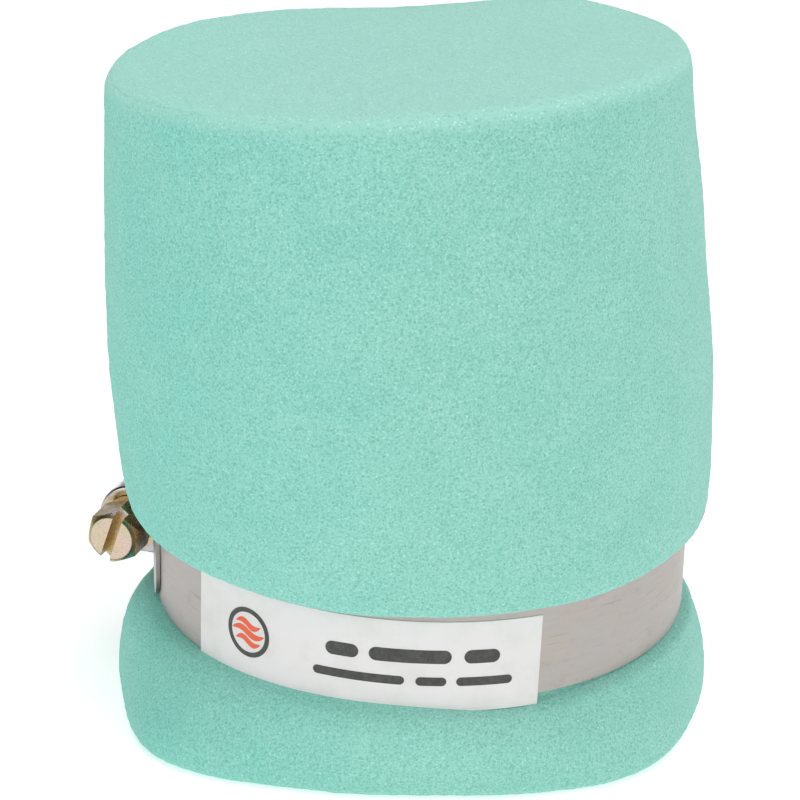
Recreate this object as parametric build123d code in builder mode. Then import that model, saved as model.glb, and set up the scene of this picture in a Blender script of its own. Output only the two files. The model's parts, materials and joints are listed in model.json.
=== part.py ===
from build123d import *
import os
from math import atan, cos, degrees, pi, radians, sin, tan

# Clamp-on pod air filter: a rubber neck with a coil spring on it, a two-stage
# foam element that slides over both, and a worm-drive band clamp round the foam.
# Millimetres. The origin is the centre of the neck's mouth and +Z runs along the
# neck's axis to the closed end. The clamp's screw is on the -X side.

# ---- Driving dimensions ----

# Whole filter
FILTER_LENGTH = 100.0

# Rubber neck
NECK_BORE_R = 28.575  # takes a 57.15 mm (2 1/4 in) spigot
NECK_OUTER_R = 32.0
NECK_LENGTH = 36.0
SPIGOT_DEPTH = 27.0
STOP_LIP_R = 26.5
STOP_LIP_THICK = 2.0
SPRING_SEAT_R = 30.7
NECK_EDGE_ROUND = 0.6

# Support spring
WIRE_R = 1.0
COIL_R = 29.3
COIL_TURNS = 7
CLOSED_PITCH = 2.06  # the end coils almost touch
RAMP_TURNS = 0.5  # from the closed pitch to the open one
POINTS_PER_TURN = 16
SPRING_END_GAP = 0.1

# Foam element
FINE_STAGE = 6.35
COARSE_STAGE = 9.5
STAGE_GAP = 0.1  # the two stages are loose, one inside the other
SLIP_BORE_R = 32.3  # slides over the neck
BORE_R = 30.8  # stands clear of the spring
SLIP_TOP = 38.0
BORE_TAPER = 4.0
SKIRT_STAGE_R = 38.65  # where the stages meet, at the skirt
WAIST_STAGE_R = 35.9  # the same under the clamp
BODY_STAGE_R = 37.15  # the same above the clamp
STAGE_SLOPE = 4.0  # height over which the stages are squeezed in to the clamp
SKIRT_R = 47.2
SKIRT_ROUND = 1.2
SKIRT_MID = (45.9, 8.2)  # where the skirt's side passes on its way in to the clamp
SKIRT_SHOULDER = 1.2  # the skirt's flat top, below the band
LIP_WIDTH = 2.2  # the flat underside of the roll above the band
LIP_RISE = 3.0
LIP_ROUND = 3.4
BODY_R = 46.3
BODY_DRAFT = 0.8  # how much less the body's radius is at each end
RIM_R = 42.6
RIM_ROUND = 3.0
SEAM_ANGLE = 45.0  # where the end disc meets the sleeve, round the rim

# Band clamp, for a 14.3 mm (9/16 in) band
BAND_WIDTH = 14.3
BAND_MID_Z = 21.15
BAND_INNER_R = 40.75
BAND_THICK = 0.6
BAND_GAP_ANGLE = 148.0
BAND_GAP_DEGREES = 1.4
BAND_FIT = 0.05  # the foam's groove stands just inside the band
GROOVE_BELOW = 2.0  # the groove's room under the band
GROOVE_ABOVE = 0.2  # and over the housing's wall
SHEET = 0.8  # saddle and housing
EDGE_GAP = 0.1  # between the saddle's walls and the band's edges
FLANGE_GAP = 0.27  # between the tail and the housing over it
ARCH_GAP = 0.25  # round the thread
POCKET_GAP = 0.1  # between the foam and the saddle
POCKET_DEPTH = 1.5
POCKET_MARGIN = 0.5  # degrees each side of the saddle
HOUSING_ANGLE = 164.3
HOUSING_LENGTH = 15.0
SADDLE_LENGTH = 9.2
ARCH_END_ROUND = 0.6

# Tail, the slotted end of the band under the screw
TAIL_GAP = 0.08
TAIL_ROOT_ANGLE = 134.0
TAIL_TIP_ANGLE = 194.0
TAIL_RAMP = 3.0
TAIL_FEATHER = 0.1
OVERRUN = 1.0  # how far a cut runs past what it cuts
TAIL_TIP_ROUND = 4.0
SLOT_WIDTH = 1.5
SLOT_LENGTH = 8.0
SLOTS_EACH_WAY = 5

# Worm screw, 5/16 in slotted hex head
SCREW_AXIS_R = 46.1
THREAD_PITCH = 3.2
THREAD_TURNS = 3
THREAD_R = 4.5
CORE_R = 3.5
CREST_WIDTH = 0.7
FLANK_ANGLE = 20.0
ROOT_SINK = 0.1  # the thread starts this far inside the core
HEX_AF = 7.94
HEX_START = 9.0
HEX_END = 15.7
HEX_TURN = 20.0  # degrees that the hexagon is turned about its axis
HEX_FACE_R = 3.5
HEX_CHAMFER = 1.1
HEX_BACK_CHAMFER = 0.3
COLLAR_R = 4.1
COLLAR_START = 7.8
NECK_R = 3.2
NOSE_R = 2.6
NOSE_LENGTH = 2.4
NOSE_CHAMFER = 0.4
CORE_LAND = 0.8
SHAFT_CLEARANCE = 0.08
DRIVE_SLOT_WIDTH = 1.6
DRIVE_SLOT_DEPTH = 2.4
DRIVE_SLOT_ANGLE = 71.0

# Printed sticker on the band
LABEL_FROM = 218.3
LABEL_TO = 294.3
LABEL_HEIGHT = 14.0
LABEL_MID_Z = 19.85
LABEL_TILT = 1.1
LABEL_THICK = 0.1
LABEL_MARGIN = 10.0  # degrees of strip each side, before it is trimmed

# ---- Derived sizes ----

band_low = BAND_MID_Z - BAND_WIDTH / 2
band_high = BAND_MID_Z + BAND_WIDTH / 2
band_outer_r = BAND_INNER_R + BAND_THICK
tail_inner_r = band_outer_r + TAIL_GAP
tail_outer_r = tail_inner_r + BAND_THICK
flange_r = tail_outer_r + FLANGE_GAP
groove_r = BAND_INNER_R - BAND_FIT
edge_low = band_low - EDGE_GAP
edge_high = band_high + EDGE_GAP
groove_low = band_low - GROOVE_BELOW
groove_high = edge_high + SHEET + GROOVE_ABOVE
skirt_top_r = groove_r + SKIRT_SHOULDER
lip_r = groove_r + LIP_WIDTH
lip_top = (BODY_R - BODY_DRAFT, groove_high + LIP_RISE)
shoulder_r = RIM_R + BODY_DRAFT
saddle_r = BAND_INNER_R - SHEET
saddle_arc = degrees(SADDLE_LENGTH / BAND_INNER_R)
saddle_start = HOUSING_ANGLE - saddle_arc / 2
arch_inner_r = THREAD_R + ARCH_GAP
arch_outer_r = arch_inner_r + SHEET
coarse_end_z = FILTER_LENGTH - COARSE_STAGE
fine_end_z = coarse_end_z - FINE_STAGE
spring_low = SPIGOT_DEPTH + STOP_LIP_THICK + WIRE_R + SPRING_END_GAP
spring_high = fine_end_z - WIRE_R - SPRING_END_GAP
slot_step = degrees(THREAD_PITCH / tail_outer_r)
lead_angle = degrees(atan(THREAD_PITCH / (2 * pi * (SCREW_AXIS_R - tail_outer_r))))
hex_corner_r = HEX_AF / 2 / cos(radians(30))
thread_reach = THREAD_TURNS * THREAD_PITCH / 2
root_width = CREST_WIDTH + 2 * (THREAD_R - CORE_R + ROOT_SINK) * tan(radians(FLANK_ANGLE))
nose_end = -thread_reach - CORE_LAND - NOSE_LENGTH
label_mid = (LABEL_FROM + LABEL_TO) / 2
label_chord = 2 * band_outer_r * sin(radians(LABEL_TO - LABEL_FROM) / 2)

os.makedirs("parts", exist_ok=True)


def finish(builder, name):
    """Label the finished piece and write it out."""
    builder.part.label = name
    export_step(builder.part, f"parts/{name}.step")


def round_plane(angle, radius, z):
    """A plane at an angle round the filter: its normal points outwards, its x axis is +Z."""
    outward = (cos(radians(angle)), sin(radians(angle)), 0)
    origin = (radius * outward[0], radius * outward[1], z)
    return Plane(origin=origin, x_dir=(0, 0, 1), z_dir=outward)


def screw_plane(along):
    """A plane across the screw, so far along its axis from the housing's middle.

    Its normal points to the head and its x axis points away from the filter.
    """
    outward = (cos(radians(HOUSING_ANGLE)), sin(radians(HOUSING_ANGLE)), 0)
    to_head = (-outward[1], outward[0], 0)
    origin = (
        SCREW_AXIS_R * outward[0] + along * to_head[0],
        SCREW_AXIS_R * outward[1] + along * to_head[1],
        BAND_MID_Z,
    )
    return Plane(origin=origin, x_dir=outward, z_dir=to_head)


screw_section = Plane(origin=screw_plane(0).origin, x_dir=screw_plane(0).x_dir, z_dir=(0, 0, 1))
screw_axis = Axis(screw_plane(0).origin, screw_plane(0).z_dir)


def polar_point(radius, angle):
    """A point in a sketch on the XY plane."""
    return (radius * cos(radians(angle)), radius * sin(radians(angle)))


def strip_plane(angle):
    """The upright plane through +Z at an angle round the filter, x axis outwards."""
    outward = (cos(radians(angle)), sin(radians(angle)), 0)
    return Plane(origin=(0, 0, 0), x_dir=outward, z_dir=(outward[1], -outward[0], 0))


def bent_strip(inner_r, thick, low, high, start, arc, mode=Mode.ADD):
    """Add to the part a strip bent round +Z from one angle through an arc in degrees."""
    with BuildSketch(strip_plane(start)) as section:
        with Locations((inner_r + thick / 2, (low + high) / 2)):
            Rectangle(thick, high - low)
    revolve(section.sketch, axis=Axis.Z, revolution_arc=arc, mode=mode)


# ---- Rubber neck ----

with BuildPart() as rubber_neck:
    with BuildSketch(Plane.XZ):
        with BuildLine():
            Polyline(
                (NECK_BORE_R, 0),
                (NECK_OUTER_R, 0),
                (NECK_OUTER_R, NECK_LENGTH),
                (SPRING_SEAT_R, NECK_LENGTH),
                (SPRING_SEAT_R, SPIGOT_DEPTH + STOP_LIP_THICK),
                (STOP_LIP_R, SPIGOT_DEPTH + STOP_LIP_THICK),
                (STOP_LIP_R, SPIGOT_DEPTH),
                (NECK_BORE_R, SPIGOT_DEPTH),
                close=True,
            )
        make_face()
    revolve(axis=Axis.Z)
    outer_edges = rubber_neck.edges().filter_by(GeomType.CIRCLE)
    outer_edges = outer_edges.filter_by(lambda e: abs(e.radius - NECK_OUTER_R) < 0.01)
    fillet(outer_edges, NECK_EDGE_ROUND)
finish(rubber_neck, "rubber_neck")

# ---- Support spring ----

open_turns = COIL_TURNS - 2 - 2 * RAMP_TURNS
spring_rise = spring_high - spring_low
open_pitch = (spring_rise - (2 + RAMP_TURNS) * CLOSED_PITCH) / (open_turns + RAMP_TURNS)


def rise_from_end(turn):
    """Height of the wire above its closed end, for a turn in that half of the coil."""
    if turn <= 1:
        return CLOSED_PITCH * turn
    ramp = min(turn - 1, RAMP_TURNS)
    steepening = (open_pitch - CLOSED_PITCH) * ramp * ramp / (2 * RAMP_TURNS)
    return CLOSED_PITCH * (1 + ramp) + steepening + open_pitch * (turn - 1 - ramp)


def coil_point(turn):
    """A point on the wire's centre line, with the same closed end top and bottom."""
    if turn <= COIL_TURNS / 2:
        height = spring_low + rise_from_end(turn)
    else:
        height = spring_high - rise_from_end(COIL_TURNS - turn)
    angle = 2 * pi * turn
    return (COIL_R * cos(angle), COIL_R * sin(angle), height)


with BuildPart() as support_spring:
    with BuildLine() as wire_path:
        Spline([coil_point(i / POINTS_PER_TURN) for i in range(COIL_TURNS * POINTS_PER_TURN + 1)])
    with BuildSketch(Plane(origin=wire_path.line @ 0, z_dir=wire_path.line % 0)):
        Circle(WIRE_R)
    sweep(is_frenet=True)
finish(support_spring, "support_spring")

# ---- Foam element ----


def stage_points(gap):
    """The line where the two foam stages meet, from the skirt up, moved in by a gap."""
    return [
        (SKIRT_STAGE_R - gap, 0),
        (SKIRT_STAGE_R - gap, band_low - STAGE_SLOPE),
        (WAIST_STAGE_R - gap, band_low),
        (WAIST_STAGE_R - gap, band_high),
        (BODY_STAGE_R - gap, band_high + STAGE_SLOPE),
        (BODY_STAGE_R - gap, coarse_end_z - gap),
    ]


with BuildPart() as inner_foam_sleeve:
    with BuildSketch(Plane.XZ):
        with BuildLine():
            Polyline(
                *stage_points(STAGE_GAP),
                (BORE_R, fine_end_z),
                (BORE_R, SLIP_TOP + BORE_TAPER),
                (SLIP_BORE_R, SLIP_TOP),
                (SLIP_BORE_R, 0),
                close=True,
            )
        make_face()
    revolve(axis=Axis.Z)
finish(inner_foam_sleeve, "inner_foam_sleeve")

with BuildPart() as inner_foam_end:
    with BuildSketch(Plane.XZ):
        with BuildLine():
            Polyline(
                (0, fine_end_z),
                (BORE_R, fine_end_z),
                (BODY_STAGE_R - STAGE_GAP, coarse_end_z - STAGE_GAP),
                (0, coarse_end_z - STAGE_GAP),
                close=True,
            )
        make_face()
    revolve(axis=Axis.Z)
finish(inner_foam_end, "inner_foam_end")

rim_centre = (RIM_R - RIM_ROUND, FILTER_LENGTH - RIM_ROUND)
seam = (
    rim_centre[0] + RIM_ROUND * cos(radians(SEAM_ANGLE)),
    rim_centre[1] + RIM_ROUND * sin(radians(SEAM_ANGLE)),
)

with BuildPart() as outer_foam_sleeve:
    with BuildSketch(Plane.XZ):
        with BuildLine():
            Line((SKIRT_STAGE_R, 0), (SKIRT_R - SKIRT_ROUND, 0))
            RadiusArc((SKIRT_R - SKIRT_ROUND, 0), (SKIRT_R, SKIRT_ROUND), -SKIRT_ROUND)
            ThreePointArc((SKIRT_R, SKIRT_ROUND), SKIRT_MID, (skirt_top_r, groove_low))
            Line((skirt_top_r, groove_low), (groove_r, groove_low))
            Line((groove_r, groove_low), (groove_r, groove_high))
            Line((groove_r, groove_high), (lip_r, groove_high))
            RadiusArc((lip_r, groove_high), lip_top, -LIP_ROUND)
            ThreePointArc(lip_top, (BODY_R, FILTER_LENGTH / 2), (shoulder_r, coarse_end_z))
            Line((shoulder_r, coarse_end_z), (RIM_R, rim_centre[1]))
            RadiusArc((RIM_R, rim_centre[1]), seam, -RIM_ROUND)
            Line(seam, (BODY_STAGE_R, coarse_end_z))
            Polyline(*reversed(stage_points(0)))
        make_face()
    revolve(axis=Axis.Z)
    # A shallow pocket lets the clamp's saddle in under the band.
    bent_strip(
        saddle_r - POCKET_GAP,
        POCKET_DEPTH,
        groove_low,
        groove_high,
        saddle_start - POCKET_MARGIN,
        saddle_arc + 2 * POCKET_MARGIN,
        Mode.SUBTRACT,
    )
finish(outer_foam_sleeve, "outer_foam_sleeve")

with BuildPart() as outer_foam_end:
    with BuildSketch(Plane.XZ):
        with BuildLine():
            Polyline((0, FILTER_LENGTH), (0, coarse_end_z), (BODY_STAGE_R, coarse_end_z), seam)
            RadiusArc(seam, (rim_centre[0], FILTER_LENGTH), -RIM_ROUND)
            Line((rim_centre[0], FILTER_LENGTH), (0, FILTER_LENGTH))
        make_face()
    revolve(axis=Axis.Z)
finish(outer_foam_end, "outer_foam_end")

# ---- Band clamp ----

with BuildPart() as clamp_band:
    bent_strip(
        BAND_INNER_R,
        BAND_THICK,
        band_low,
        band_high,
        BAND_GAP_ANGLE + BAND_GAP_DEGREES / 2,
        360 - BAND_GAP_DEGREES,
    )
finish(clamp_band, "clamp_band")

with BuildPart() as clamp_saddle:
    bent_strip(saddle_r, SHEET, edge_low - SHEET, edge_high + SHEET, saddle_start, saddle_arc)
    for wall_low in (edge_low - SHEET, edge_high):
        bent_strip(
            saddle_r, flange_r - saddle_r, wall_low, wall_low + SHEET, saddle_start, saddle_arc
        )
finish(clamp_saddle, "clamp_saddle")

with BuildPart() as clamp_housing:
    # The arch over the screw, closed at both ends.
    with BuildSketch(screw_plane(-HOUSING_LENGTH / 2)):
        Circle(arch_outer_r)
        with Locations((-arch_outer_r / 2, 0)):
            Rectangle(arch_outer_r, 2 * arch_outer_r)
    extrude(amount=HOUSING_LENGTH)
    end_edges = clamp_housing.edges().filter_by(GeomType.CIRCLE)
    fillet(end_edges, ARCH_END_ROUND)
    # The flange over the tail, which stands on the saddle's walls.
    bent_strip(
        flange_r - SHEET, 2 * SHEET, edge_low - SHEET, edge_high + SHEET, saddle_start, saddle_arc
    )
    # Room for the screw, open to the tail below.
    with BuildSketch(screw_plane(SHEET - HOUSING_LENGTH / 2)):
        Circle(arch_inner_r)
        with Locations((-arch_outer_r / 2, 0)):
            Rectangle(arch_outer_r, 2 * arch_inner_r)
    extrude(amount=HOUSING_LENGTH - 2 * SHEET, mode=Mode.SUBTRACT)
    # The underside follows the band.
    with BuildSketch(Plane.XY):
        Circle(flange_r)
    extrude(amount=FILTER_LENGTH / 2, mode=Mode.SUBTRACT)
    # Bearings for the screw's nose and neck.
    for journal_r, along in ((NOSE_R, -HOUSING_LENGTH / 2), (NECK_R, HOUSING_LENGTH / 2)):
        with BuildSketch(screw_plane(along - 2 * SHEET)):
            Circle(journal_r + SHAFT_CLEARANCE)
        extrude(amount=4 * SHEET, mode=Mode.SUBTRACT)
finish(clamp_housing, "clamp_housing")

with BuildPart() as band_tail:
    bent_strip(
        tail_inner_r,
        BAND_THICK,
        band_low,
        band_high,
        TAIL_ROOT_ANGLE,
        TAIL_TIP_ANGLE - TAIL_ROOT_ANGLE,
    )
    end_edges = band_tail.edges().filter_by(lambda e: abs(e.length - BAND_THICK) < 0.01)
    fillet(end_edges.sort_by(Axis.Y)[:2], TAIL_TIP_ROUND)
    # The root thins to a feather edge where it leaves the band.
    with BuildSketch(Plane.XY.offset(band_low)):
        with BuildLine():
            Polyline(
                polar_point(tail_inner_r + TAIL_FEATHER, TAIL_ROOT_ANGLE - OVERRUN),
                polar_point(tail_inner_r + TAIL_FEATHER, TAIL_ROOT_ANGLE),
                polar_point(tail_outer_r, TAIL_ROOT_ANGLE + TAIL_RAMP),
                polar_point(tail_outer_r + OVERRUN, TAIL_ROOT_ANGLE + TAIL_RAMP),
                polar_point(tail_outer_r + OVERRUN, TAIL_ROOT_ANGLE - OVERRUN),
                close=True,
            )
        make_face()
    extrude(amount=BAND_WIDTH, mode=Mode.SUBTRACT)
    for step in range(-SLOTS_EACH_WAY, SLOTS_EACH_WAY + 1):
        slot_angle = HOUSING_ANGLE + step * slot_step
        with BuildSketch(round_plane(slot_angle, tail_inner_r - OVERRUN, BAND_MID_Z)):
            SlotOverall(SLOT_LENGTH, SLOT_WIDTH, rotation=-lead_angle)
        extrude(amount=BAND_THICK + 2 * OVERRUN, mode=Mode.SUBTRACT)
finish(band_tail, "band_tail")

# ---- Worm screw ----

# The thread's root line starts on the side away from the filter.
thread_path = screw_plane(-thread_reach).location * Helix(THREAD_PITCH, 2 * thread_reach, CORE_R)

with BuildPart() as clamp_screw:
    # The hexagon, with both ends turned off round.
    with BuildSketch(screw_plane(HEX_START)):
        RegularPolygon(HEX_AF / 2, 6, major_radius=False, rotation=HEX_TURN)
    extrude(amount=HEX_END - HEX_START)
    with BuildSketch(screw_section):
        with BuildLine():
            Polyline(
                (0, HEX_START),
                (COLLAR_R, HEX_START),
                (hex_corner_r, HEX_START + HEX_BACK_CHAMFER),
                (hex_corner_r, HEX_END - HEX_CHAMFER),
                (HEX_FACE_R, HEX_END),
                (0, HEX_END),
                close=True,
            )
        make_face()
    revolve(axis=screw_axis, mode=Mode.INTERSECT)
    # The driver slot across the head.
    with BuildSketch(screw_plane(HEX_END - DRIVE_SLOT_DEPTH)):
        Rectangle(3 * HEX_AF, DRIVE_SLOT_WIDTH, rotation=DRIVE_SLOT_ANGLE)
    extrude(amount=DRIVE_SLOT_DEPTH, mode=Mode.SUBTRACT)
    # The shank, from the nose to the collar.
    with BuildSketch(screw_section):
        with BuildLine():
            Polyline(
                (0, nose_end),
                (NOSE_R - NOSE_CHAMFER, nose_end),
                (NOSE_R, nose_end + NOSE_CHAMFER),
                (NOSE_R, -thread_reach - CORE_LAND),
                (CORE_R, -thread_reach - CORE_LAND),
                (CORE_R, thread_reach + CORE_LAND),
                (NECK_R, thread_reach + CORE_LAND),
                (NECK_R, COLLAR_START),
                (COLLAR_R, COLLAR_START),
                (COLLAR_R, HEX_START),
                (0, HEX_START),
                close=True,
            )
        make_face()
    revolve(axis=screw_axis)
    # The worm thread, whose crests reach into the tail's slots.
    with BuildSketch(Plane(origin=thread_path @ 0, x_dir=screw_section.x_dir, z_dir=thread_path % 0)):
        with BuildLine():
            Polyline(
                (-ROOT_SINK, -root_width / 2),
                (THREAD_R - CORE_R, -CREST_WIDTH / 2),
                (THREAD_R - CORE_R, CREST_WIDTH / 2),
                (-ROOT_SINK, root_width / 2),
                close=True,
            )
        make_face()
    sweep(path=thread_path, is_frenet=True)
finish(clamp_screw, "clamp_screw")

# ---- Label ----

with BuildPart() as label:
    bent_strip(
        band_outer_r,
        LABEL_THICK,
        groove_low - OVERRUN,
        groove_high + OVERRUN,
        LABEL_FROM - LABEL_MARGIN,
        LABEL_TO - LABEL_FROM + 2 * LABEL_MARGIN,
    )
    # It is stuck on slightly askew, so its right-hand end hangs below the band.
    with BuildSketch(round_plane(label_mid, 0, LABEL_MID_Z)):
        Rectangle(LABEL_HEIGHT, label_chord, rotation=-LABEL_TILT)
    extrude(amount=BODY_R, mode=Mode.INTERSECT)
finish(label, "label")
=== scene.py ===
import json
from math import cos, pi, radians, sin

import bpy
import numpy as np
from mathutils import Matrix, Vector, noise


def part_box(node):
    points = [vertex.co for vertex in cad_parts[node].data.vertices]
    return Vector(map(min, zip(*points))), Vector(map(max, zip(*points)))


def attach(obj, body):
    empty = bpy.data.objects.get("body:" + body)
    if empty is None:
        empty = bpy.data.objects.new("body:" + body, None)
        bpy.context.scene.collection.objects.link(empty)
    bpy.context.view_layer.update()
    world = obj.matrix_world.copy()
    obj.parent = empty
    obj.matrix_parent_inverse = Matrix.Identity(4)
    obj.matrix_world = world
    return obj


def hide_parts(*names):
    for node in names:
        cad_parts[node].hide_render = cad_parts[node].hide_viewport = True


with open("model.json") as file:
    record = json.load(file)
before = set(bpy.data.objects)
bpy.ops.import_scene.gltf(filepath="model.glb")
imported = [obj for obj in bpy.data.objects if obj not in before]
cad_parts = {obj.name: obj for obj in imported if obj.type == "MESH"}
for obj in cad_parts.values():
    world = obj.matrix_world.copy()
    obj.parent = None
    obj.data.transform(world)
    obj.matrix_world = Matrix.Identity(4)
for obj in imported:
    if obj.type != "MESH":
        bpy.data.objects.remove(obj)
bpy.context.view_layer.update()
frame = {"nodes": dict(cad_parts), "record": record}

# A clamp-on foam pod air filter. The foam element is modelled here round the packed
# frame. The clamp, the screw, the neck and the spring are the frame's own pieces with
# finished materials. Shapes are worked out in millimetres; MM turns them into metres.
# Angles are in degrees round the filter's axis, from +X towards +Y, so 270 is the front.

MM = 0.001
X, Y, Z = 0, 1, 2

# ---- Sizes taken from the frame, in millimetres ----


def span(node, axis):
    """A frame node's lowest and highest place along an axis."""
    low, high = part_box(node)
    return low[axis] / MM, high[axis] / MM


BAND_LOW, BAND_HIGH = span("clamp_band", Z)
BAND_OUTER = span("clamp_band", X)[1]
FINE_TOP = span("inner_foam_sleeve", Z)[1]
FINE_OUTER = span("inner_foam_sleeve", X)[1]
CHAMBER_TOP = span("inner_foam_end", Z)[0]
LABEL_OUTER = -span("label", Y)[0]

# ---- Shape of the foam: radii and heights in millimetres ----

AROUND = 440  # points round each foam ring
STEP = 0.65  # between rings on the outside
WAIST = BAND_OUTER - 0.7  # radius behind the band
RIM_EDGE = 41.5  # radius where the end disc meets the sleeve
RIM_Z = 98  # height where the top's tilt and wave are whole
RIM_SLOPE = 0.0685  # rise of the top for each millimetre towards +X
BORE = 32.3  # radius over the neck
CHAMBER = 30.8  # radius round the spring
STAGE_GAP = 0.1  # between the coarse and the fine stage
WAIST_STAGE = 35.9  # radius where the stages meet behind the band
BODY_STAGE = 37.15  # radius where the stages meet above the band
DISC_UNDER = FINE_TOP + 0.15  # underside of the coarse end disc at its edge
DISC_HUB = 0.6  # radius of a disc's smallest ring
HOUSING_ANGLE = 164.3
SEAM_ANGLE = 97
CELL_SIZE = 1.5  # of the fine grain pressed into the skin
LUMP_SIZE = 13  # of the slow lumps in the skin
CELL_DEPTH = 0.1
SKIRT_LUMPS = 0.22
BODY_LUMPS = 0.25
SKIRT_SEED = 3
BODY_SEED = 5  # shared by the sleeve's body and the end disc, so that they meet
BORE_SEED = 11
CEILING_SEED = 12


def gauss(angle, centre, width):
    """A bump of height 1 at an angle."""
    away = (angle - centre + 180) % 360 - 180
    return np.exp(-((away / width) ** 2))


def bumps(angle, *each):
    """Bumps added up, each given as (height, centre, width)."""
    return sum(height * gauss(angle, centre, width) for height, centre, width in each)


def smoothstep(low, high, x):
    """0 at low, 1 at high, smooth between."""
    t = np.clip((x - low) / (high - low), 0, 1)
    return t * t * (3 - 2 * t)


def lean(z):
    """How far the foam's middle stands off the neck's axis in x at a height."""
    body = -0.066 * np.maximum(z - 18, 0)
    skirt = -0.95 * smoothstep(14, 10.5, z)
    return body + skirt


def rim_tilt(angle):
    """The tilt of the top's edge: the +X side stands higher."""
    return RIM_EDGE * RIM_SLOPE * np.cos(np.radians(angle))


def rim_wave(angle):
    """The top edge's slow wave, on top of its tilt."""
    high = bumps(angle, (0.85, 145, 24), (0.8, 48, 20))
    low = bumps(angle, (1.3, 88, 20), (0.3, 193, 20), (0.2, 240, 14))
    return high - low


def lip_rise(angle):
    """How much higher the roll of foam over the band is at the sides and back than in front."""
    from_front = 1 + np.sin(np.radians(angle))
    return 1.9 * np.tanh(1.8 * from_front**1.5)


def skirt_flare(angle):
    """How far the skirt's foot stands out or in from round."""
    front_corners = bumps(angle, (4.7, 223, 18), (2.9, 314, 17))
    front = bumps(angle, (2.3, 269, 24))
    back = bumps(angle, (1.6, 62, 22), (-1.2, 105, 20), (1.2, 140, 14))
    return front_corners - front + back


def skirt_dip(angle):
    """How much lower the skirt's shoulder is under the housing and the label's low end."""
    return bumps(angle, (1.5, HOUSING_ANGLE, 13), (1.3, 290, 16))


def spline(points, step):
    """A smooth line through 2-D points, with points about a step apart and no last point."""
    p = np.array(points, float)
    ends = np.vstack([2 * p[0] - p[1], p, 2 * p[-1] - p[-2]])
    line = []
    for i in range(len(p) - 1):
        p0, p1, p2, p3 = ends[i : i + 4]
        count = max(1, round(float(np.linalg.norm(p2 - p1)) / step))
        for t in np.arange(count) / count:
            bend = (2 * p0 - 5 * p1 + 4 * p2 - p3) * t * t + (3 * p1 - p0 - 3 * p2 + p3) * t**3
            line.append(0.5 * (2 * p1 + (p2 - p0) * t + bend))
    return np.array(line)


def fuzz(points, size, seed):
    """Smooth noise from -1 to 1 at each point, with features about size millimetres across."""
    shift = Vector((seed * 17.3, seed * 5.1, seed * 9.7))
    return np.array([noise.noise(Vector(p) / size + shift) for p in points])


def turned(line, shape):
    """Rings of points from a profile of (radius, height), bent by a shape function."""
    angle = np.linspace(0, 360, AROUND, endpoint=False)
    angles = np.repeat(angle[None, :], len(line), axis=0)
    radius = np.repeat(line[:, :1], AROUND, axis=1)
    height = np.repeat(line[:, 1:], AROUND, axis=1)
    radius, height, off = shape(radius, height, angles)
    x = off + radius * np.cos(np.radians(angles))
    y = radius * np.sin(np.radians(angles))
    return np.stack([x, y, height], -1)


def roughen(rings, skin, grain, lumps, seed):
    """Push the skin's rings in and out by cell-size grain and slow lumps, never under z 0."""
    flat = rings[skin].reshape(-1, 3)
    around = np.roll(rings, -1, 1) - np.roll(rings, 1, 1)
    along = np.roll(rings, -1, 0) - np.roll(rings, 1, 0)
    normal = np.cross(around, along)[skin].reshape(-1, 3)
    normal /= np.maximum(np.linalg.norm(normal, axis=1), 1e-9)[:, None]
    push = fuzz(flat, CELL_SIZE, seed) * grain + fuzz(flat, LUMP_SIZE, seed + 1) * lumps
    rings[skin] = (flat + normal * push[:, None]).reshape(rings[skin].shape)
    rings[..., Z] = np.maximum(rings[..., Z], 0)
    return rings


def add_mesh(name, verts, faces, smooth=True):
    """A mesh object from points in millimetres, its faces turned outwards."""
    mesh = bpy.data.meshes.new(name)
    mesh.from_pydata((np.array(verts) * MM).tolist(), [], faces)
    mesh.validate()
    mesh.update()
    volume = sum(p.center.dot(p.normal) * p.area for p in mesh.polygons)
    if volume < 0:
        mesh.flip_normals()
    mesh.polygons.foreach_set("use_smooth", [smooth] * len(mesh.polygons))
    piece = bpy.data.objects.new(name, mesh)
    bpy.context.collection.objects.link(piece)
    return piece


def ring_mesh(name, rings, closed):
    """A closed mesh from rings of points in millimetres.

    closed joins the last ring to the first; otherwise each end ring closes on its middle.
    """
    count, around = rings.shape[:2]
    verts = rings.reshape(-1, 3)
    index = np.arange(count * around).reshape(count, around)
    beside = np.roll(index, -1, axis=1)
    after = np.roll(index, -1, axis=0)
    quads = np.stack([index, after, np.roll(after, -1, axis=1), beside], -1)
    faces = quads[: count if closed else count - 1].reshape(-1, 4).tolist()
    if not closed:
        verts = np.vstack([verts, rings[0].mean(0), rings[-1].mean(0)])
        first, last = count * around, count * around + 1
        faces += [[first, index[0][i], beside[0][i]] for i in range(around)]
        faces += [[last, beside[-1][i], index[-1][i]] for i in range(around)]
    return add_mesh(name, verts, faces)


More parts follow.
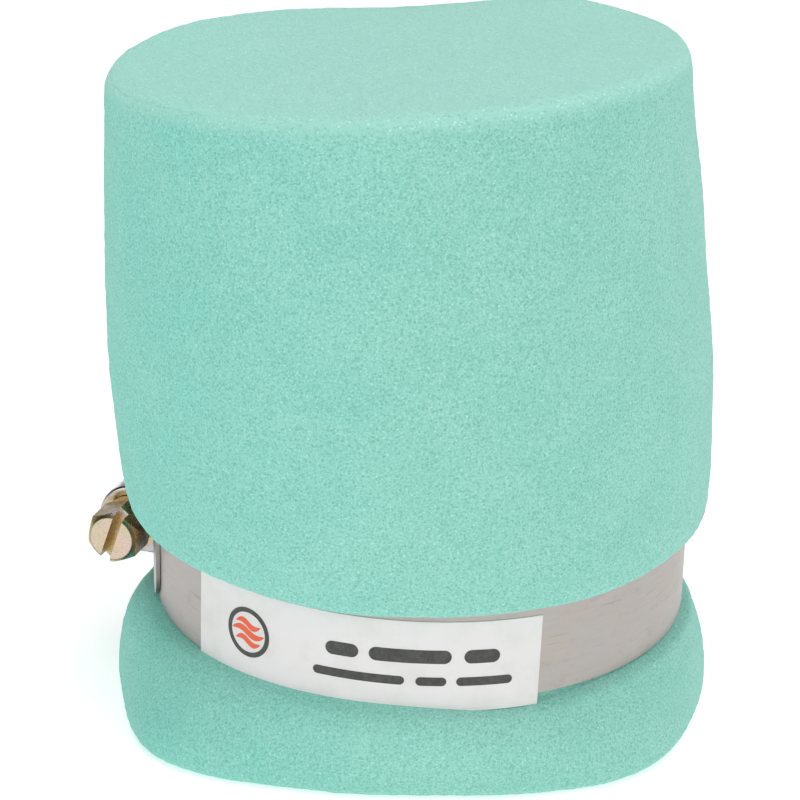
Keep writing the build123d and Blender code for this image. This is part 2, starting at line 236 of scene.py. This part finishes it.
def sleeve_shape(radius, height, angle):
    """The coarse sleeve's bends: flare, dips, lip, pocket, lean, tilt and the glued seam.

    They act on its outside. Its inside stays round, so that it clears the fine stage.
    """
    outside = smoothstep(38.7, 40.6, radius)
    # The flare is whole at the foot and gone at the waist.
    foot = smoothstep(13, 1, height) * smoothstep(39, 45, radius)
    radius = radius + skirt_flare(angle) * foot
    # The skirt's shoulder dips, and the roll of foam over the band rises.
    shoulder = smoothstep(6, 12, height) * smoothstep(22, 14, height)
    height = height - skirt_dip(angle) * shoulder * outside
    roll = smoothstep(27.5, 28.5, height) * smoothstep(46, 30, height) * outside
    height = height + lip_rise(angle) * roll
    # A pocket in the waist makes room for the saddle and the housing.
    pocket = gauss(angle, HOUSING_ANGLE, 8.5)
    pocket = pocket * smoothstep(12, 13, height) * smoothstep(31, 29, height)
    radius = radius - 1.1 * np.minimum(1, 1.6 * pocket) * smoothstep(42, 41, radius) * outside
    # The body leans, its top tilts, and the glued seam is a shallow groove.
    off = lean(height) * np.maximum(outside, smoothstep(DISC_UNDER, RIM_Z, height))
    height = height + (rim_tilt(angle) + rim_wave(angle)) * smoothstep(50, RIM_Z, height)
    seam = gauss(angle, SEAM_ANGLE, 0.75) * smoothstep(36, 46, radius)
    return radius - 0.3 * seam, height, off


def disc_shape(radius, height, angle):
    """The coarse end disc's bends, which match the sleeve's at the rim."""
    out = np.clip(radius / RIM_EDGE, 0, 1)
    off = lean(height) * smoothstep(DISC_UNDER, RIM_Z, height)
    bend = rim_tilt(angle) * out + rim_wave(angle) * out**3
    return radius, height + bend * smoothstep(50, RIM_Z, height), off


def round_shape(radius, height, angle):
    """No bends: a plain turned piece."""
    return radius, height, 0 * height


def coarse_sleeve():
    """The outer stage's sleeve: skirt, waist under the band, rolled lip, body and rim."""
    foot_edge = (46.65, 1.1)
    skirt_top = (41.6, 13.5)
    waist_low = (WAIST, 13.85)
    waist_high = (WAIST, BAND_HIGH - 0.3)
    lip_edge = (43.9, 28.45)
    roll_top = (45.65, 34)
    rim_low = (43.0, 92.5)
    rim_inner = (41.0, 98.62)
    foot = spline([(39, 0.1), (42, 0.1), (45.2, 0.12), (46.2, 0.35), foot_edge], STEP)
    skirt = [foot_edge, (46.5, 4), (45.9, 7.5), (44.9, 10.4), (43.3, 12.7), skirt_top]
    skirt = spline(skirt, STEP)
    shoulder = spline([skirt_top, waist_low], 0.5)
    waist = spline([waist_low, waist_high], 1.3)
    lip = spline([waist_high, (WAIST, 28.3), (42.2, 28.55), lip_edge], 0.55)
    roll = spline([lip_edge, (44.8, 29.0), (45.3, 30.4), roll_top], 0.5)
    body = [roll_top, (45.9, 42), (45.9, 55), (44.95, 70), (43.75, 84), rim_low]
    body = spline(body, STEP)
    rim = spline([rim_low, (42.8, 96.0), (42.4, 97.6), (41.7, 98.4), rim_inner], 0.4)
    inside = [rim_inner, (40.4, 98.5)]  # under the end disc's edge
    inside += [(BODY_STAGE, FINE_TOP + STAGE_GAP), (BODY_STAGE, 70), (BODY_STAGE, 50)]
    inside += [(BODY_STAGE, BAND_HIGH + 4), (WAIST_STAGE, BAND_HIGH), (WAIST_STAGE, 20)]
    inside += [(WAIST_STAGE, BAND_LOW), (FINE_OUTER + STAGE_GAP, BAND_LOW - 4)]
    inside += [(FINE_OUTER + STAGE_GAP, 4), (FINE_OUTER + STAGE_GAP, 0.3)]
    under_band = len(foot) + len(skirt) + len(shoulder)
    over_band = under_band + len(waist)
    outer = np.vstack([foot, skirt, shoulder, waist, lip, roll, body, rim])
    rings = turned(np.vstack([outer, np.array(inside, float)]), sleeve_shape)
    below, above = slice(6, under_band - 2), slice(over_band + 3, len(outer) + 1)
    rings = roughen(rings, below, CELL_DEPTH, SKIRT_LUMPS, SKIRT_SEED)
    rings = roughen(rings, above, CELL_DEPTH, BODY_LUMPS, BODY_SEED)
    return ring_mesh("coarse_foam_sleeve", rings, True)


def coarse_end():
    """The outer stage's end disc, whose edge is the rim's inner half."""
    face_edge = (38, 98.96)
    brow_edge = (41.62, 98.1)
    face = spline([(DISC_HUB, 99.3), (12, 99.25), (24, 99.2), (34, 99.05), face_edge], 1.1)
    brow = spline([face_edge, (40.2, 98.9), (41.1, 98.74), (RIM_EDGE, 98.5), brow_edge], 0.3)
    side = [brow_edge, (41.3, 97.8), (BODY_STAGE - 0.3, DISC_UNDER)]
    side += [(34, FINE_TOP + STAGE_GAP), (DISC_HUB, FINE_TOP + STAGE_GAP)]
    rings = turned(np.vstack([face, brow, np.array(side, float)]), disc_shape)
    skin = slice(1, len(face) + len(brow) + 1)
    rings = roughen(rings, skin, CELL_DEPTH, BODY_LUMPS, BODY_SEED)
    return ring_mesh("coarse_foam_end", rings, False)


def fine_sleeve():
    """The inner stage's sleeve, which slides over the neck and stands clear of the spring."""
    chamber_edge = (CHAMBER, CHAMBER_TOP)
    body, waist = BODY_STAGE - STAGE_GAP, WAIST_STAGE - STAGE_GAP
    line = [(BORE + 0.3, 0), (35, 0), (FINE_OUTER - 0.3, 0), (FINE_OUTER, 0.3), (FINE_OUTER, 5)]
    line += [(FINE_OUTER, BAND_LOW - 4), (waist, BAND_LOW), (waist, BAND_HIGH)]
    line += [(body, BAND_HIGH + 4), (body, 60), (body, FINE_TOP), (33.9, 87.2), chamber_edge]
    bore = spline([chamber_edge, (CHAMBER, 42), (BORE, 38), (BORE, 0.3)], 1.2)
    rings = turned(np.vstack([np.array(line, float), bore[1:]]), round_shape)
    skin = slice(len(line) + 1, len(line) + len(bore) - 2)
    rings = roughen(rings, skin, -0.07, 0, BORE_SEED)
    return ring_mesh("fine_foam_sleeve", rings, True)


def fine_end():
    """The inner stage's end disc, over the air chamber."""
    chamber_edge = (CHAMBER, CHAMBER_TOP)
    under = spline([(DISC_HUB, CHAMBER_TOP), (15, CHAMBER_TOP), chamber_edge], 1.3)
    line = [chamber_edge, (BODY_STAGE - 0.2, FINE_TOP - 0.1)]
    line += [(BODY_STAGE - 0.4, FINE_TOP), (20, FINE_TOP), (DISC_HUB, FINE_TOP)]
    rings = turned(np.vstack([under, np.array(line, float)]), round_shape)
    rings = roughen(rings, slice(1, len(under) - 2), 0.07, 0, CEILING_SEED)
    return ring_mesh("fine_foam_end", rings, False)


# ---- Print on the label, in millimetres ----

LABEL_MID_ANGLE = 256.3
LABEL_MID_Z = 19.85
LABEL_TILT = radians(-1.1)
INK_LOW = 0.005  # underside of the ink above the paper
INK_HIGH = 0.03
BADGE = (-17.0, 0.2)  # middle of the badge: right of the label's middle, and above it
BADGE_RADIUS = 3.9
BADGE_LINE = 0.75


def on_label(u, v, proud):
    """The point on the label u right of its middle and v above it."""
    across = u * cos(LABEL_TILT) - v * sin(LABEL_TILT)
    up = u * sin(LABEL_TILT) + v * cos(LABEL_TILT)
    radius = LABEL_OUTER + proud
    angle = radians(LABEL_MID_ANGLE) + across / LABEL_OUTER
    return (radius * cos(angle), radius * sin(angle), LABEL_MID_Z + up)


def printed(name, columns, whole=False):
    """A thin layer of ink on the label, from pairs of (u, v) points along its two edges.

    whole is for a ring, which has no ends to close.
    """
    verts = []
    for pair in columns:
        verts += [on_label(u, v, proud) for proud in (INK_LOW, INK_HIGH) for u, v in pair]
    last = len(verts) - 4
    faces = []
    for i in range(0, last, 4):
        for a, b in ((0, 1), (1, 3), (3, 2), (2, 0)):
            faces.append([i + a, i + b, i + 4 + b, i + 4 + a])
    if not whole:
        faces += [[0, 2, 3, 1], [last, last + 1, last + 3, last + 2]]
    return add_mesh(name, verts, faces, smooth=False)


def bar(name, left, right, middle, height):
    """A plain printed bar with rounded ends."""
    half = height / 2
    turn = np.linspace(0, pi / 2, 7)
    outline = [(left + half * (1 - cos(a)), half * sin(a)) for a in turn]
    outline += [(u, half) for u in np.arange(left + half + 1, right - half, 1)]
    outline += [(right - half * (1 - cos(a)), half * sin(a)) for a in turn[::-1]]
    ends = 1e-3  # so that the bar's ends aren't points
    return printed(name, [((u, middle - h - ends), (u, middle + h + ends)) for u, h in outline])


def badge_ring(name):
    """The badge's printed ring."""
    columns = []
    for a in np.radians(np.linspace(0, 360, 60)):
        radii = (BADGE_RADIUS, BADGE_RADIUS - BADGE_LINE)
        columns.append([(BADGE[0] + r * cos(a), BADGE[1] + r * sin(a)) for r in radii])
    return printed(name, columns, whole=True)


def badge_wave(name, half, up, height, thick):
    """A wavy line in the badge that tapers at both ends."""
    left, right = BADGE[0] - half, BADGE[0] + half
    columns = []
    for u in np.linspace(left, right, 30):
        t = (u - left) / (right - left)
        v = BADGE[1] + up + height * sin(2 * pi * t)
        thin = 0.02 + thick / 2 * sin(pi * t) ** 0.6
        columns.append(((u, v - thin), (u, v + thin)))
    return printed(name, columns)


# ---- Materials ----


def rgb(r, g, b):
    """A linear colour with alpha."""
    return (r, g, b, 1)


def scaled(colour, *by):
    """A colour with its red, green and blue scaled, or all three by one number."""
    return rgb(*(part * k for part, k in zip(colour, by * 3 if len(by) == 1 else by)))


class Shader:
    """A short way to build one material's nodes."""

    def __init__(self, name, **values):
        self.material = bpy.data.materials.new(name)
        self.material.use_nodes = True
        self.tree = self.material.node_tree
        self.surface = self.tree.nodes["Principled BSDF"]
        self.at = self.tree.nodes.new("ShaderNodeTexCoord").outputs["Object"]
        for socket, value in values.items():
            self.surface.inputs[socket.replace("_", " ")].default_value = value

    def fill(self, made, links):
        """Link or set a node's inputs, given by name or number."""
        for socket, value in links:
            if isinstance(value, bpy.types.NodeSocket):
                self.tree.links.new(value, made.inputs[socket])
            else:
                made.inputs[socket].default_value = value

    def node(self, kind, links=(), **values):
        """A node with its settings, and its inputs set or linked."""
        made = self.tree.nodes.new("ShaderNode" + kind)
        for key, value in values.items():
            setattr(made, key, value)
        self.fill(made, links)
        return made

    def stretched(self, scale):
        """Object coordinates scaled along each axis."""
        return self.node("Mapping", [("Vector", self.at), ("Scale", scale)]).outputs["Vector"]

    def noise(self, size, detail=2, rough=0.5, stretch=(1, 1, 1)):
        """Noise from 0 to 1 with features about size millimetres across."""
        place = self.stretched([s / (size * MM) for s in stretch])
        links = [("Vector", place), ("Scale", 1), ("Detail", detail), ("Roughness", rough)]
        return self.node("TexNoise", links).outputs["Fac"]

    def cells(self, size):
        """Cells about size millimetres across: the distance from their middles."""
        place = self.stretched([1 / (size * MM)] * 3)
        return self.node("TexVoronoi", [("Vector", place), ("Scale", 1)]).outputs["Distance"]

    def levels(self, value, low, high, to_low=0, to_high=1):
        """value from low..high to to_low..to_high, smooth and clamped."""
        links = [(0, value), (1, low), (2, high), (3, to_low), (4, to_high)]
        return self.node("MapRange", links, interpolation_type="SMOOTHSTEP").outputs[0]

    def mix(self, how_much, a, b):
        """Colour a turning into colour b."""
        links = [(0, how_much), (6, a), (7, b)]
        return self.node("Mix", links, data_type="RGBA").outputs[2]

    def math(self, operation, a, b):
        """One sum on two values."""
        return self.node("Math", [(0, a), (1, b)], operation=operation).outputs[0]

    def times(self, a, b):
        """Two values multiplied."""
        return self.math("MULTIPLY", a, b)

    def part(self, axis):
        """One of the object coordinates, in metres."""
        return self.node("SeparateXYZ", [(0, self.at)]).outputs[axis]

    def vector(self, operation, a, b=(0, 0, 0)):
        """One sum on two vectors, whose result may be a number."""
        made = self.node("VectorMath", [(0, a), (1, b)], operation=operation)
        return made.outputs["Value" if operation in ("DOT_PRODUCT", "LENGTH") else "Vector"]

    def from_screw(self):
        """Millimetres along the screw's axis towards its head, and out from the axis."""
        centre, to_head = screw_axis()
        from_centre = self.vector("SUBTRACT", self.at, centre)
        along = self.vector("DOT_PRODUCT", from_centre, to_head)
        out = self.vector("LENGTH", self.vector("CROSS_PRODUCT", from_centre, to_head))
        return self.math("DIVIDE", along, MM), self.math("DIVIDE", out, MM)

    def set(self, socket, value):
        """Link a value to the surface."""
        self.tree.links.new(value, self.surface.inputs[socket])

    def bump(self, height, distance, strength, under=None):
        """Bump from a height in 0..1 that stands distance millimetres at most."""
        links = [("Height", height), ("Distance", distance * MM), ("Strength", strength)]
        if under is not None:
            links.append(("Normal", under))
        return self.node("Bump", links).outputs["Normal"]


def foam(name, colour, pale, deep, cell):
    """Open-cell foam: struts, pores, pits and painted glints, faint mottling, a matt nap, a top
    painted paler as painted light.

    The -X side is painted a little deeper and more saturated, as painted shade. cell is the size
    of a pore in millimetres.
    """
    s = Shader(name, Roughness=0.95, Specular_IOR_Level=0.2)
    s.surface.inputs["Sheen Weight"].default_value = 0.2
    s.surface.inputs["Sheen Roughness"].default_value = 0.6
    s.surface.inputs["Sheen Tint"].default_value = rgb(0.8, 1.0, 0.94)
    x, z = s.part(X), s.part(Z)
    struts = s.levels(s.noise(cell * 0.5, 2, 0.6), 0.3, 0.7)
    pores = s.levels(s.cells(cell), 0.08, 0.5, 1, 0)
    pits = s.levels(s.cells(cell * 2.3), 0.03, 0.2, 1, 0)
    # painted highlights: bright specks on the struts, mixed into the base colour
    glints = s.levels(s.cells(cell * 1.35), 0.06, 0.26, 1, 0)
    cloud = s.levels(s.noise(11, 3, 0.55), 0.3, 0.7)
    # painted light: the top, above the rim's level, is painted paler and its painted glints
    # brighter, as if lit from above
    level = s.math("SUBTRACT", z, s.times(x, RIM_SLOPE))
    lit_top = s.levels(level, 95.8 * MM, 99 * MM)
    # painted shade: the -X side is painted darker and more saturated, standing in for less light
    # there
    shaded_side = s.levels(x, -50 * MM, 5 * MM, 1, 0)
    colour = s.mix(shaded_side, colour, scaled(colour, 0.7, 1.04, 1.06))
    colour = s.mix(s.times(cloud, 0.3), colour, pale)
    colour = s.mix(0.45, colour, s.mix(struts, deep, pale))
    colour = s.mix(s.times(pores, 0.46), colour, deep)
    colour = s.mix(s.times(pits, 0.6), colour, deep)
    colour = s.mix(s.times(lit_top, 0.65), colour, pale)
    bright = s.levels(lit_top, 0, 1, 0.4, 1)
    s.set("Base Color", s.mix(s.times(glints, bright), colour, rgb(0.66, 0.92, 0.85)))
    coarse = s.bump(s.levels(pores, 0, 1, 1, 0), 0.12, 0.6)
    s.set("Normal", s.bump(struts, 0.07, 0.6, coarse))
    return s.material


def band_metal(name, base, rough, cloud_size):
    """Rolled stainless strip: fine brushing along it, soft smudges and a few scratches."""
    s = Shader(name, Metallic=1.0)
    brush = s.noise(0.12, 2, 0.6, (0.02, 0.02, 1))
    cloud = s.noise(cloud_size, 3, 0.6)
    smudge = s.levels(s.noise(3.2, 4, 0.7, (1, 1, 1.6)), 0.52, 0.78)
    scratch = s.levels(s.noise(0.9, 1, 0.3, (0.12, 0.12, 1.8)), 0.7, 0.76)
    colour = s.mix(s.levels(cloud, 0.35, 0.68), base, scaled(base, 1.04, 0.985, 0.95))
    colour = s.mix(s.times(smudge, 0.3), colour, scaled(base, 0.72, 0.71, 0.7))
    colour = s.mix(s.times(scratch, 0.35), colour, scaled(base, 0.6))
    colour = s.mix(s.levels(brush, 0.3, 0.7, 0, 0.16), colour, scaled(base, 0.85))
    uneven = s.math("ADD", brush, s.times(smudge, 0.4))
    s.set("Base Color", colour)
    s.set("Roughness", s.levels(uneven, 0.2, 1.1, rough, rough + 0.16))
    s.set("Normal", s.bump(brush, 0.012, 0.5))
    return s.material


SCREW_FACE_RADIUS = 3.5
END_WALL = 7.2  # how far along the screw's axis the housing's end wall stands


def screw_axis():
    """A point on the worm screw's axis and the way to its head."""
    joints = frame["record"]["behaviour"]["joints"]
    joint = next(j for j in joints if j["name"] == "screw_turn")
    return Vector(joint["pos_m"]), -Vector(joint["axis"]).normalized()


def screw_face():
    """How far from that point the screw's face stands, in millimetres."""
    centre, to_head = screw_axis()
    verts = frame["nodes"]["clamp_screw"].data.vertices
    return max((v.co - centre).dot(to_head) for v in verts) / MM


def pressed_metal(name, base):
    """Pressed stainless housing: bright, with soft tarnish, draw marks and an end wall painted
    gold-brown as a painted reflection of the plated screw.
    """
    s = Shader(name, Metallic=1.0)
    along, out = s.from_screw()
    tarnish = s.noise(2.4, 3, 0.6)
    marks = s.noise(0.25, 2, 0.6, (1, 0.15, 1))
    colour = s.mix(s.levels(tarnish, 0.35, 0.7), base, scaled(base, 0.92, 0.84, 0.9))
    colour = s.mix(s.levels(marks, 0.45, 0.8, 0, 0.3), colour, rgb(0.25, 0.23, 0.24))
    # painted reflection: the end wall beside the screw head is painted gold-brown, standing in for
    # the plated screw reflected in it
    wall = s.times(s.levels(along, END_WALL, END_WALL + 0.2), s.levels(out, 5.4, 4.7))
    screw_reflection = s.mix(s.levels(tarnish, 0.42, 0.6), rgb(0.34, 0.24, 0.1), rgb(0.52, 0.42, 0.24))
    s.set("Base Color", s.mix(s.times(wall, 0.85), colour, screw_reflection))
    s.set("Roughness", s.levels(tarnish, 0.3, 0.8, 0.14, 0.3))
    s.set("Normal", s.bump(marks, 0.02, 0.5))
    return s.material


def plated_metal(name):
    """Yellow zinc plate: gold with lavender and green patches, each partly plating bloom and
    partly a painted reflection of the sky and the foam; creamy on the worn face.
    """
    s = Shader(name, Metallic=1.0)
    along, out = s.from_screw()
    face, edge = screw_face(), SCREW_FACE_RADIUS
    pits = s.noise(0.28, 3, 0.6)
    gold = s.levels(s.noise(2.2, 2, 0.5), 0.4, 0.6)
    gold = s.mix(gold, rgb(0.44, 0.31, 0.12), rgb(0.6, 0.46, 0.22))
    # partly painted reflection: green patches stand in for the foam reflected in the plate, as
    # well as plating bloom
    green = s.levels(s.noise(1.9, 2, 0.5), 0.52, 0.68, 0, 0.7)
    gold = s.mix(green, gold, rgb(0.36, 0.38, 0.17))
    # partly painted reflection: lavender patches stand in for the sky reflected in the plate, as
    # well as plating bloom
    lavender = s.levels(s.noise(3.1, 2, 0.5), 0.5, 0.66, 0, 0.8)
    gold = s.mix(lavender, gold, rgb(0.58, 0.53, 0.56))
    in_slot = s.levels(along, face - 0.2, face - 0.1, 1, 0)
    in_slot = s.times(in_slot, s.levels(out, edge + 0.4, edge + 0.1))
    gold = s.mix(s.times(in_slot, 0.6), gold, rgb(0.34, 0.2, 0.07))
    worn = s.levels(s.noise(2.8, 3, 0.5), 0.4, 0.62)
    worn = s.mix(worn, rgb(0.57, 0.48, 0.34), rgb(0.64, 0.47, 0.41))
    colour = s.mix(s.levels(along, face - 0.12, face - 0.04), gold, worn)
    # painted shade: a dark ring round the head's chamfer, just below the face
    chamfer_shade = s.times(
        s.levels(out, edge - 0.14, edge), s.levels(out, edge + 0.12, edge + 0.6, 1, 0)
    )
    chamfer_shade = s.times(chamfer_shade, s.levels(along, face - 0.9, face - 0.5))
    colour = s.mix(s.times(chamfer_shade, 0.75), colour, rgb(0.2, 0.17, 0.12))
    s.set("Base Color", s.mix(s.levels(pits, 0.55, 0.8, 0, 0.45), colour, rgb(0.28, 0.22, 0.12)))
    s.set("Roughness", s.levels(pits, 0.3, 0.7, 0.16, 0.36))
    s.set("Normal", s.bump(pits, 0.03, 0.5))
    return s.material


def wire_metal(name):
    """Drawn spring wire: grey with darker drawing lines and slight oil film."""
    s = Shader(name, Metallic=1.0)
    lines = s.noise(0.2, 2, 0.6)
    film = s.noise(5, 3, 0.6)
    colour = s.mix(s.levels(film, 0.35, 0.7), rgb(0.5, 0.5, 0.5), rgb(0.36, 0.35, 0.33))
    s.set("Base Color", s.mix(s.levels(lines, 0.5, 0.8, 0, 0.5), colour, rgb(0.2, 0.19, 0.18)))
    s.set("Roughness", s.levels(film, 0.3, 0.7, 0.26, 0.44))
    s.set("Normal", s.bump(lines, 0.02, 0.5))
    return s.material


def moulded_rubber(name):
    """Black rubber: a fine moulded grain, grey bloom and a little dust."""
    s = Shader(name, Specular_IOR_Level=0.4)
    bloom = s.noise(6, 4, 0.6)
    grain = s.noise(0.35, 3, 0.6)
    colour = s.mix(s.levels(bloom, 0.35, 0.75), rgb(0.018, 0.018, 0.02), rgb(0.05, 0.05, 0.052))
    dust = s.levels(s.cells(1.3), 0.02, 0.1, 0.5, 0)
    s.set("Base Color", s.mix(dust, colour, rgb(0.14, 0.14, 0.13)))
    s.set("Roughness", s.levels(bloom, 0.3, 0.7, 0.5, 0.68))
    s.set("Normal", s.bump(grain, 0.06, 0.5))
    return s.material


def paper(name):
    """White sticker paper: satin, with faint fibres and slight handling marks."""
    s = Shader(name, Specular_IOR_Level=0.5)
    fibres = s.noise(0.3, 4, 0.7)
    marks = s.noise(5, 4, 0.6)
    colour = s.mix(s.levels(marks, 0.4, 0.75), rgb(0.79, 0.765, 0.765), rgb(0.73, 0.715, 0.7))
    s.set("Base Color", s.mix(s.levels(fibres, 0.5, 0.8, 0, 0.3), colour, rgb(0.7, 0.7, 0.69)))
    s.set("Roughness", s.levels(marks, 0.3, 0.7, 0.42, 0.55))
    s.set("Normal", s.bump(fibres, 0.01, 0.4))
    return s.material


def ink(name, colour, worn):
    """Printing ink: not quite even, with the paper showing at pinholes."""
    s = Shader(name, Specular_IOR_Level=0.4)
    patch = s.noise(1.2, 4, 0.7)
    shade = s.mix(s.levels(patch, 0.35, 0.75), colour, worn)
    pinholes = s.levels(s.noise(0.2, 2, 0.5), 0.72, 0.8, 0, 0.5)
    s.set("Base Color", s.mix(pinholes, shade, rgb(0.7, 0.7, 0.68)))
    s.set("Roughness", s.levels(patch, 0.3, 0.7, 0.4, 0.6))
    return s.material


def floor_finish(name):
    """The studio's pale floor."""
    s = Shader(name, Roughness=0.9, Specular_IOR_Level=0.1)
    s.set("Base Color", s.mix(s.noise(400, 2, 0.5), rgb(0.86, 0.86, 0.86), rgb(0.9, 0.9, 0.9)))
    s.surface.inputs["Emission Color"].default_value = rgb(1, 1, 1)
    s.surface.inputs["Emission Strength"].default_value = 0.45
    return s.material


# ---- Put together ----


def dress(piece, material):
    """Give a new piece its material and the body it rides on."""
    piece.data.materials.clear()
    piece.data.materials.append(material)
    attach(piece, "foam_element")


def repaint(node, material):
    """Give a frame node a finished material."""
    for holder in frame["nodes"][node].material_slots:
        holder.material = material


def build_foam():
    """The four foam pieces, each in place of its plain solid."""
    pale_teal = rgb(0.275, 0.65, 0.555), rgb(0.42, 0.77, 0.675), rgb(0.15, 0.48, 0.385)
    deep_teal = rgb(0.21, 0.53, 0.46), rgb(0.30, 0.62, 0.54), rgb(0.13, 0.40, 0.34)
    outer = foam("coarse_foam", *pale_teal, cell=0.55)
    inner = foam("fine_foam", *deep_teal, cell=0.38)
    made = [
        (coarse_sleeve(), outer, "foam_coarse", "outer_foam_sleeve"),
        (coarse_end(), outer, "foam_coarse", "outer_foam_end"),
        (fine_sleeve(), inner, "foam_fine", "inner_foam_sleeve"),
        (fine_end(), inner, "foam_fine", "inner_foam_end"),
    ]
    for piece, material, slot, node in made:
        dress(piece, material)
        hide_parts(node)


def build_print():
    """A generic badge and plain bars, printed on the label."""
    red = ink("red_ink", rgb(0.86, 0.11, 0.04), rgb(0.78, 0.16, 0.07))
    dark = ink("dark_ink", rgb(0.05, 0.05, 0.045), rgb(0.09, 0.09, 0.08))
    pieces = [
        (badge_ring("badge_ring"), dark),
        (badge_wave("badge_line_high", 2.3, 1.3, 0.45, 1.0), red),
        (badge_wave("badge_line_mid", 3.0, 0, 0.5, 1.1), red),
        (badge_wave("badge_line_low", 2.3, -1.4, 0.45, 1.0), red),
    ]
    high = ((-4.0, 0.9), (2.4, 14.2), (16.0, 21.2))
    low = ((-5.8, 7.6), (9.2, 13.6), (15.0, 23.2))
    for i, (left, right) in enumerate(high):
        pieces.append((bar(f"bar_high_{i}", left, right, 1.55 + 0.02 * i, 2.1), dark))
    for i, (left, right) in enumerate(low):
        pieces.append((bar(f"bar_low_{i}", left, right, -2.3, 1.35), dark))
    for piece, material in pieces:
        dress(piece, material)


def finish_frame_nodes():
    """Materials of the pieces that are the frame's own."""
    steel = rgb(0.43, 0.402, 0.388)
    repaint("clamp_band", band_metal("band_steel", steel, rough=0.4, cloud_size=7))
    repaint("band_tail", band_metal("tail_steel", steel, rough=0.36, cloud_size=8))
    housing = pressed_metal("housing_steel", rgb(0.5, 0.475, 0.5))
    repaint("clamp_housing", housing)
    repaint("clamp_saddle", housing)
    repaint("clamp_screw", plated_metal("plated_steel"))
    repaint("support_spring", wire_metal("spring_wire"))
    repaint("rubber_neck", moulded_rubber("neck_rubber"))
    repaint("label", paper("label_paper"))


# ---- Camera and studio ----

CAMERA_PLACE = (-3.77, -332.97, 168.11)  # in millimetres
CAMERA_LENS = 103.5
CAMERA_DOWN = 20.38  # degrees under the horizon
CAMERA_ROLL = 1.21
DIM_WAY = (-0.55, 0.3, 0.78)  # the way to the middle of the surround's dim corner
DIM_FROM, DIM_WHOLE = 0.6, 0.9  # cosines of the angle from it, at the corner's edge and inside
DIM_LIGHT = 0.12  # how bright the corner is
SURROUND = 0.51  # how bright the rest is
FLOOR_Z = -0.0002  # in metres, just under the foam's foot
LIGHTS = (  # name, place in metres, size in metres, power in watts
    ("top", (0.0, 0.05, 0.9), 0.8, 4.3),
    ("right", (0.6, -0.7, 0.5), 0.6, 1.7),
    ("left", (-0.7, -0.5, 0.4), 0.6, 1.55),
)
LIT = (0, 0, 0.05)  # the point that the lights look at, in metres


def make_camera():
    """The camera: in front, 20 degrees above, leaning very slightly."""
    data = bpy.data.cameras.new("camera")
    data.lens = CAMERA_LENS
    data.sensor_width = 36
    camera = bpy.data.objects.new("camera", data)
    place = Matrix.Translation(Vector(CAMERA_PLACE) * MM)
    look_down = Matrix.Rotation(radians(90 - CAMERA_DOWN), 4, "X")
    roll = Matrix.Rotation(radians(CAMERA_ROLL), 4, "Z")
    camera.matrix_world = place @ look_down @ roll
    bpy.context.collection.objects.link(camera)
    bpy.context.scene.camera = camera


def add_light(name, place, size, power):
    """A square area light that looks at the filter's middle."""
    data = bpy.data.lights.new(name, "AREA")
    data.size = size
    data.energy = power
    light = bpy.data.objects.new(name, data)
    away = Vector(place) - Vector(LIT)
    light.location = place
    light.rotation_mode = "QUATERNION"
    light.rotation_quaternion = away.to_track_quat("Z", "Y")
    bpy.context.collection.objects.link(light)


def dim_corner(tree, background):
    """Make the white surround darker high up behind on the left, for the metal to reflect."""
    facing = tree.nodes.new("ShaderNodeVectorMath")
    facing.operation = "DOT_PRODUCT"
    facing.inputs[1].default_value = DIM_WAY
    tree.links.new(tree.nodes.new("ShaderNodeTexCoord").outputs["Generated"], facing.inputs[0])
    shade = tree.nodes.new("ShaderNodeMapRange")
    shade.interpolation_type = "SMOOTHSTEP"
    for socket, value in enumerate((DIM_FROM, DIM_WHOLE, 1.0, DIM_LIGHT), 1):
        shade.inputs[socket].default_value = value
    tree.links.new(facing.outputs["Value"], shade.inputs[0])
    tree.links.new(shade.outputs[0], background.inputs["Color"])


def make_studio():
    """A pale floor, a white surround and soft lights from above and both sides."""
    bpy.ops.mesh.primitive_plane_add(size=12, location=(0, 0, FLOOR_Z))
    floor = bpy.context.object
    floor.name = "floor"
    floor.data.materials.append(floor_finish("floor_pale"))
    scene = bpy.context.scene
    scene.world = bpy.data.worlds.new("studio")
    scene.world.use_nodes = True
    background = scene.world.node_tree.nodes["Background"]
    background.inputs["Strength"].default_value = SURROUND
    dim_corner(scene.world.node_tree, background)
    for name, place, size, power in LIGHTS:
        add_light(name, place, size, power)
    scene.view_settings.view_transform = "Standard"


make_camera()
build_foam()
build_print()
finish_frame_nodes()
make_studio()
